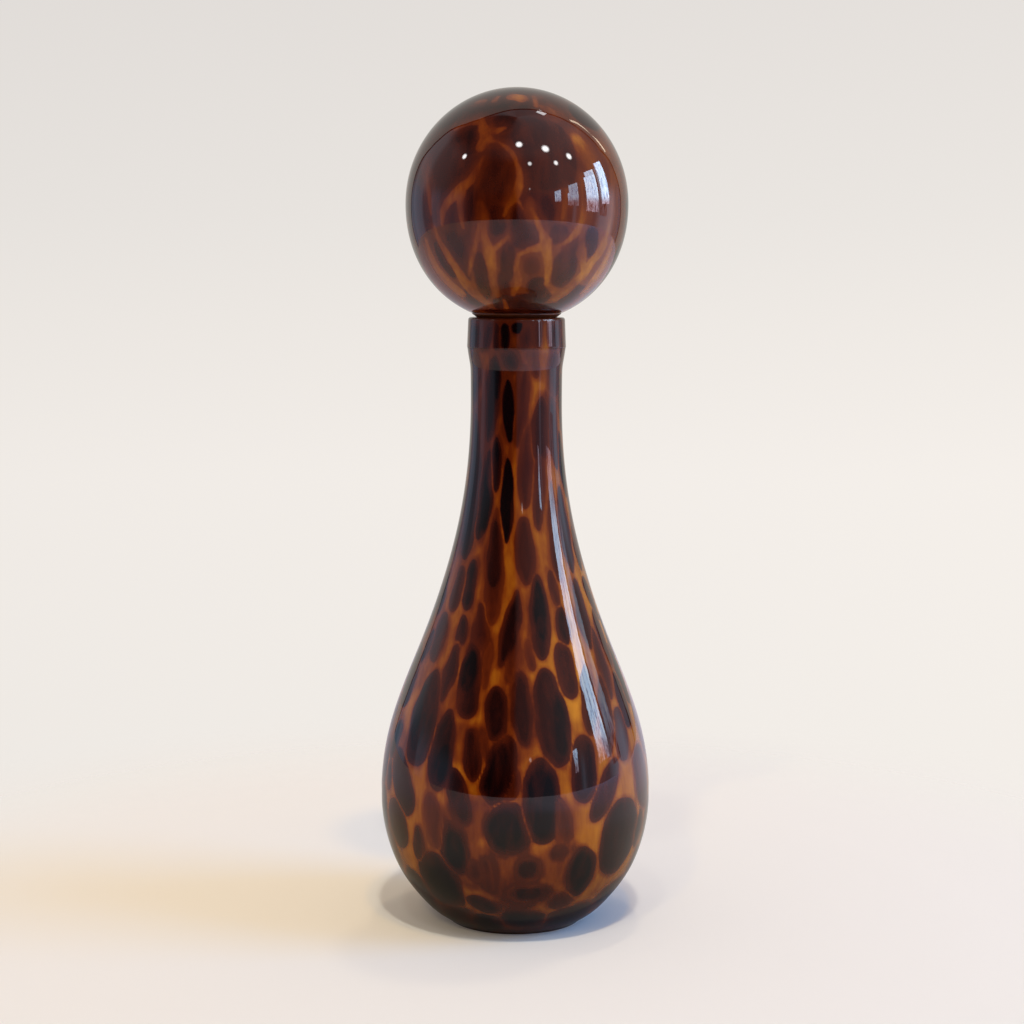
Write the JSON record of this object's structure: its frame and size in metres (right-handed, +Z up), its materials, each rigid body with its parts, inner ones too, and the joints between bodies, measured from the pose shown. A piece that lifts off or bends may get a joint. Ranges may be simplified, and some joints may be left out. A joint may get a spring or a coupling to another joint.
{
  "type": "decanter",
  "caption": "Pear-shaped blown glass decanter with a collared mouth and a hollow ball stopper that lifts out and turns in its seal.",
  "frame": {"origin": "centre of the base, in the plane of the standing ring", "axes": "+Z up along the axis of the bottle and stopper; the part is turned, so X and Y are free"},
  "size_m": [0.1174, 0.1174, 0.3604],
  "materials": {
    "tortoise_glass": "glossy clear casing over amber and dark brown spotted glass, effectively opaque",
    "plug_glass": "satin, smoothed by grinding",
    "seal_rubber": "matte black"
  },
  "bodies": {
    "bottle": {"bottle_body": "tortoise_glass", "neck_collar": "tortoise_glass"},
    "seal": {"stopper_seal": "seal_rubber"},
    "stopper": {"stopper_ball": "tortoise_glass", "stopper_plug": "plug_glass"}
  },
  "joints": [
    {"name": "stopper_lift", "type": "slide", "parent": "bottle", "child": "seal", "axis": [0, 0, 1], "range_m": [0, 0.09]},
    {"name": "stopper_turn", "type": "hinge", "parent": "seal", "child": "stopper", "pos_m": [0, 0, 0.2634], "axis": [0, 0, 1], "continuous": true}
  ]
}
